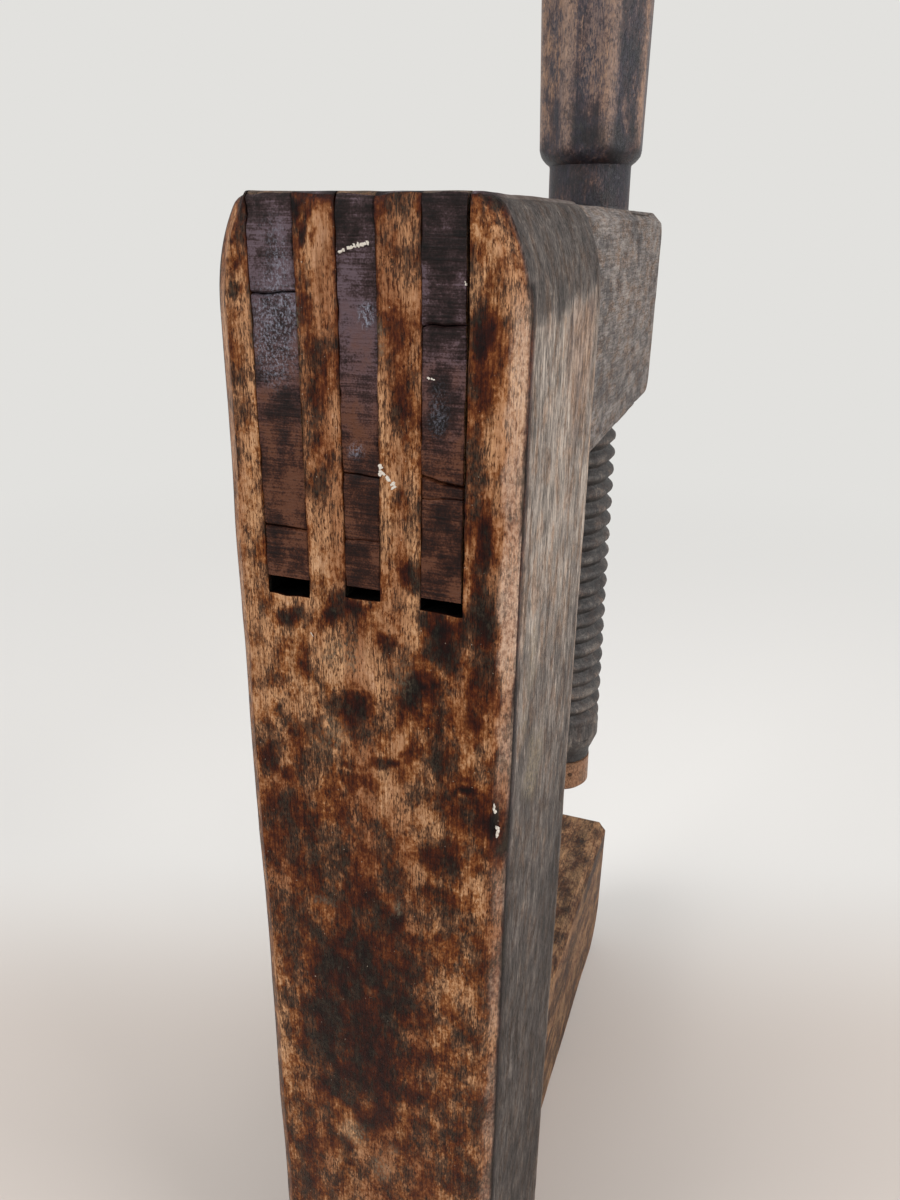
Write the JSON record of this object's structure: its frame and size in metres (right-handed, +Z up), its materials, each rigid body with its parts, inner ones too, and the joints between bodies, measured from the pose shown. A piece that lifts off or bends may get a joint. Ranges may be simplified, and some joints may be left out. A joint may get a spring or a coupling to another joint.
{
  "type": "wooden screw clamp",
  "caption": "Old beech joiner's clamp: U-shaped frame with comb joints, a wooden screw with an octagonal handle through the upper arm, and a small shoe over the lower jaw.",
  "frame": {"origin": "on the ground, at the middle of the overall width and reach", "axes": "+X across the frame's thickness, +Y from the back of the spine towards the tips of the arms, +Z up"},
  "size_m": [0.06, 0.225, 0.4517],
  "materials": {
    "spine_beech": "worn, waxed",
    "arm_beech": "worn, dirty",
    "screw_hornbeam": "dark, worn",
    "shoe_wood": "worn",
    "pin_iron": "rusted"
  },
  "bodies": {
    "frame": {"spine": "spine_beech", "upper_arm": "arm_beech", "lower_arm": "arm_beech"},
    "shoe": {"shoe": "shoe_wood", "shoe_pin_left": "pin_iron", "shoe_pin_right": "pin_iron"},
    "screw": {"screw": "screw_hornbeam"}
  },
  "joints": [
    {"name": "screw_feed", "type": "slide", "parent": "frame", "child": "shoe", "axis": [-0.0192, 0, 0.9998], "range_m": [-0.0127, 0.127]},
    {"name": "screw_turn", "type": "hinge", "parent": "shoe", "child": "screw", "pos_m": [0.00367, 0.0725, 0.11224], "axis": [-0.0192, 0, 0.9998], "range_deg": [-720, 7200]}
  ],
  "couplings": [
    {"joint": "screw_feed", "follows": "screw_turn", "m_per_rad": 0.0010106}
  ]
}
